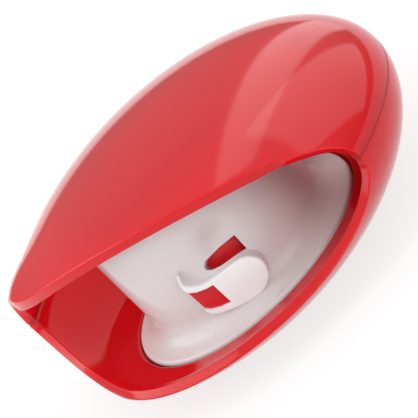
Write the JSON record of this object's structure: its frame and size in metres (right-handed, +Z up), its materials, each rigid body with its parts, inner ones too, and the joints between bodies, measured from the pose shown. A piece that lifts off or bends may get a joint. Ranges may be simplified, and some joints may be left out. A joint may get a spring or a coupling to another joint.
{
  "type": "cord winder",
  "caption": "Round two-part hand cord winder: a glossy shell with a wide side mouth round a turning white spool with a flange, a cord bridge and two cord windows.",
  "frame": {"origin": "on the resting plane, on the axis of the round shell", "axes": "+Z up along the shell's axis; the mouth faces -Y; +X to the right seen from the mouth"},
  "size_m": [0.08, 0.0731, 0.0348],
  "materials": {
    "shell_red": "moulded gloss",
    "hub_red": "moulded gloss",
    "spool_white": "moulded gloss",
    "dial_white": "moulded satin",
    "bearing_plastic": "natural acetal",
    "steel": "plated",
    "foot_rubber": "matt"
  },
  "bodies": {
    "shell": {"upper_shell": "shell_red", "lower_shell": "shell_red", "shell_screws": "steel", "foot_ring": "foot_rubber", "axle_pin": "steel", "thrust_washer": "bearing_plastic", "spool_bush": "bearing_plastic", "drag_washer": "steel"},
    "spool": {"spool_core": "spool_white", "cord_bridge": "spool_white", "grip_pad": "hub_red", "hub_drum": "hub_red", "core_cap": "spool_white", "turning_dial": "dial_white", "dial_screw": "steel", "dial_cap": "hub_red"}
  },
  "joints": [
    {"name": "spool_turn", "type": "hinge", "parent": "shell", "child": "spool", "pos_m": [0, -0.0022, 0.0174], "axis": [0, 0, 1], "continuous": true}
  ]
}
